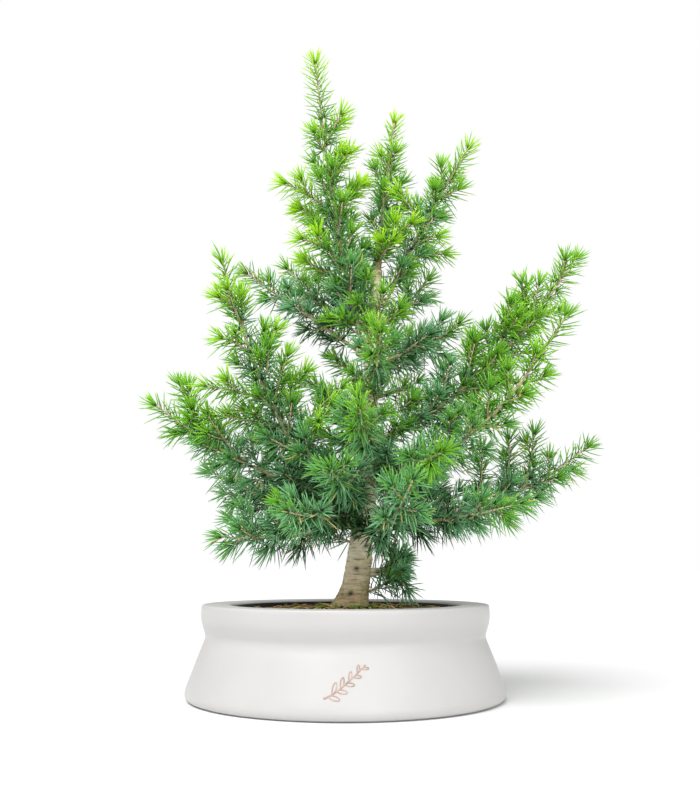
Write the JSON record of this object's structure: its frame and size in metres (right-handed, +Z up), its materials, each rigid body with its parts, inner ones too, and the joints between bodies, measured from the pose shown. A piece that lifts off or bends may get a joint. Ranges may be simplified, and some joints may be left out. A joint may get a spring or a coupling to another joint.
{
  "type": "artificial tabletop tree",
  "caption": "Artificial tabletop cedar with hinged needle branches, standing in a low white ceramic pot with a black lift-out liner.",
  "frame": {"origin": "centre of the pot's flat underside, on the surface the tree stands on", "axes": "+Z up along the pot's axis, -Y towards the front, +X to the viewer's right"},
  "size_m": [0.422, 0.2948, 0.6071],
  "materials": {
    "pot": "satin",
    "liner": "matte",
    "ballast": "matte",
    "steel": "satin",
    "soil": "matte",
    "bark": "matte",
    "stem": "matte",
    "needles": "satin"
  },
  "bodies": {
    "pot": {"ceramic_pot": "pot"},
    "tree": {"liner_pot": "liner", "anchor_plate": "steel", "anchor_nut": "steel", "ballast": "ballast", "trunk_rod": "steel", "soil_cover": "soil", "trunk": "bark", "leader_stem": "stem", "leader_spray": "needles"},
    "left_leader": {"left_leader_stem": "stem", "left_leader_spray": "needles"},
    "right_leader": {"right_leader_stem": "stem", "right_leader_spray": "needles"},
    "upper_left": {"upper_left_stem": "stem", "upper_left_spray": "needles"},
    "left_high": {"left_high_stem": "stem", "left_high_spray": "needles"},
    "left_sweep": {"left_sweep_stem": "stem", "left_sweep_spray": "needles"},
    "left_long": {"left_long_stem": "stem", "left_long_spray": "needles"},
    "left_low": {"left_low_stem": "stem", "left_low_spray": "needles"},
    "left_bottom": {"left_bottom_stem": "stem", "left_bottom_spray": "needles"},
    "front_left": {"front_left_stem": "stem", "front_left_spray": "needles"},
    "front_low_left": {"front_low_left_stem": "stem", "front_low_left_spray": "needles"},
    "front_mid_left": {"front_mid_left_stem": "stem", "front_mid_left_spray": "needles"},
    "front_top": {"front_top_stem": "stem", "front_top_spray": "needles"},
    "right_short": {"right_short_stem": "stem", "right_short_spray": "needles"},
    "right_high": {"right_high_stem": "stem", "right_high_spray": "needles"},
    "right_sweep": {"right_sweep_stem": "stem", "right_sweep_spray": "needles"},
    "right_long": {"right_long_stem": "stem", "right_long_spray": "needles"},
    "right_wide": {"right_wide_stem": "stem", "right_wide_spray": "needles"},
    "right_low": {"right_low_stem": "stem", "right_low_spray": "needles"},
    "front_right": {"front_right_stem": "stem", "front_right_spray": "needles"},
    "front_mid_right": {"front_mid_right_stem": "stem", "front_mid_right_spray": "needles"},
    "right_sprig": {"right_sprig_stem": "stem", "right_sprig_spray": "needles"},
    "back_left": {"back_left_stem": "stem", "back_left_spray": "needles"},
    "back_right": {"back_right_stem": "stem", "back_right_spray": "needles"},
    "back_middle": {"back_middle_stem": "stem", "back_middle_spray": "needles"},
    "back_high": {"back_high_stem": "stem", "back_high_spray": "needles"}
  },
  "joints": [
    {"name": "tree_lift", "type": "slide", "parent": "pot", "child": "tree", "axis": [0, 0, 1], "range_m": [0, 0.1]},
    {"name": "left_leader_hinge", "type": "hinge", "parent": "tree", "child": "left_leader", "pos_m": [0.01455, -0.00494, 0.322], "axis": [-0.4169, 0.9089, 0], "range_deg": [-20, 6]},
    {"name": "right_leader_hinge", "type": "hinge", "parent": "tree", "child": "right_leader", "pos_m": [0.03882, -0.002, 0.362], "axis": [-0.1785, -0.9839, 0], "range_deg": [-25, 12]},
    {"name": "upper_left_hinge", "type": "hinge", "parent": "tree", "child": "upper_left", "pos_m": [0.0161, 0.00554, 0.338], "axis": [0.4777, 0.8785, 0], "range_deg": [-30, 30]},
    {"name": "left_high_hinge", "type": "hinge", "parent": "tree", "child": "left_high", "pos_m": [0.01274, -0.00081, 0.312], "axis": [-0.0672, 0.9977, 0], "range_deg": [-25, 6]},
    {"name": "left_sweep_hinge", "type": "hinge", "parent": "tree", "child": "left_sweep", "pos_m": [0.00681, -0.0066, 0.192], "axis": [-0.4505, 0.8928, 0], "range_deg": [-20, 10]},
    {"name": "left_long_hinge", "type": "hinge", "parent": "tree", "child": "left_long", "pos_m": [0.00402, -0.0031, 0.176], "axis": [-0.2052, 0.9787, 0], "range_deg": [-24, 15]},
    {"name": "left_low_hinge", "type": "hinge", "parent": "tree", "child": "left_low", "pos_m": [0.00353, 0.00541, 0.164], "axis": [0.3512, 0.9363, 0], "range_deg": [-30, 25]},
    {"name": "left_bottom_hinge", "type": "hinge", "parent": "tree", "child": "left_bottom", "pos_m": [0.00221, -0.00501, 0.152], "axis": [-0.3181, 0.9481, 0], "range_deg": [-20, 24]},
    {"name": "front_left_hinge", "type": "hinge", "parent": "tree", "child": "front_left", "pos_m": [0.01095, -0.01399, 0.16], "axis": [-0.9008, 0.4341, 0], "range_deg": [-25, 8]},
    {"name": "front_low_left_hinge", "type": "hinge", "parent": "tree", "child": "front_low_left", "pos_m": [0.01536, -0.01451, 0.18], "axis": [-0.9691, 0.2467, 0], "range_deg": [-8, 15]},
    {"name": "front_mid_left_hinge", "type": "hinge", "parent": "tree", "child": "front_mid_left", "pos_m": [0.02009, -0.0139, 0.22], "axis": [-0.9975, 0.0708, 0], "range_deg": [-15, 30]},
    {"name": "front_top_hinge", "type": "hinge", "parent": "tree", "child": "front_top", "pos_m": [0.02441, -0.01237, 0.29], "axis": [-0.9979, -0.0652, 0], "range_deg": [-35, 40]},
    {"name": "right_short_hinge", "type": "hinge", "parent": "tree", "child": "right_short", "pos_m": [0.03675, 0.00548, 0.344], "axis": [0.4764, -0.8792, 0], "range_deg": [-35, 22]},
    {"name": "right_high_hinge", "type": "hinge", "parent": "tree", "child": "right_high", "pos_m": [0.03646, 0.00029, 0.306], "axis": [0.0239, -0.9997, 0], "range_deg": [-30, 24]},
    {"name": "right_sweep_hinge", "type": "hinge", "parent": "tree", "child": "right_sweep", "pos_m": [0.03505, -0.00083, 0.23], "axis": [-0.0603, -0.9982, 0], "range_deg": [-10, 12]},
    {"name": "right_long_hinge", "type": "hinge", "parent": "tree", "child": "right_long", "pos_m": [0.03359, -0.00591, 0.2], "axis": [-0.4099, -0.9121, 0], "range_deg": [-30, 8]},
    {"name": "right_wide_hinge", "type": "hinge", "parent": "tree", "child": "right_wide", "pos_m": [0.03309, 0.00294, 0.164], "axis": [0.1908, -0.9816, 0], "range_deg": [-30, 20]},
    {"name": "right_low_hinge", "type": "hinge", "parent": "tree", "child": "right_low", "pos_m": [0.03036, -0.00844, 0.15], "axis": [-0.534, -0.8455, 0], "range_deg": [-25, 24]},
    {"name": "front_right_hinge", "type": "hinge", "parent": "tree", "child": "front_right", "pos_m": [0.02005, -0.01565, 0.144], "axis": [-0.9713, -0.238, 0], "range_deg": [-30, 10]},
    {"name": "front_mid_right_hinge", "type": "hinge", "parent": "tree", "child": "front_mid_right", "pos_m": [0.02625, -0.01314, 0.206], "axis": [-0.9201, -0.3917, 0], "range_deg": [-10, 40]},
    {"name": "right_sprig_hinge", "type": "hinge", "parent": "tree", "child": "right_sprig", "pos_m": [0.02802, 0.00675, 0.108], "axis": [0.3826, -0.9239, 0], "range_deg": [-30, 40]},
    {"name": "back_left_hinge", "type": "hinge", "parent": "tree", "child": "back_left", "pos_m": [0.01098, 0.01276, 0.178], "axis": [0.849, 0.5285, 0], "range_deg": [-35, 25]},
    {"name": "back_right_hinge", "type": "hinge", "parent": "tree", "child": "back_right", "pos_m": [0.02777, 0.01229, 0.188], "axis": [0.8329, -0.5534, 0], "range_deg": [-40, 45]},
    {"name": "back_middle_hinge", "type": "hinge", "parent": "tree", "child": "back_middle", "pos_m": [0.02014, 0.01347, 0.236], "axis": [0.9944, 0.1054, 0], "range_deg": [-40, 35]},
    {"name": "back_high_hinge", "type": "hinge", "parent": "tree", "child": "back_high", "pos_m": [0.02957, 0.01086, 0.292], "axis": [0.879, -0.4769, 0], "range_deg": [-40, 20]}
  ]
}
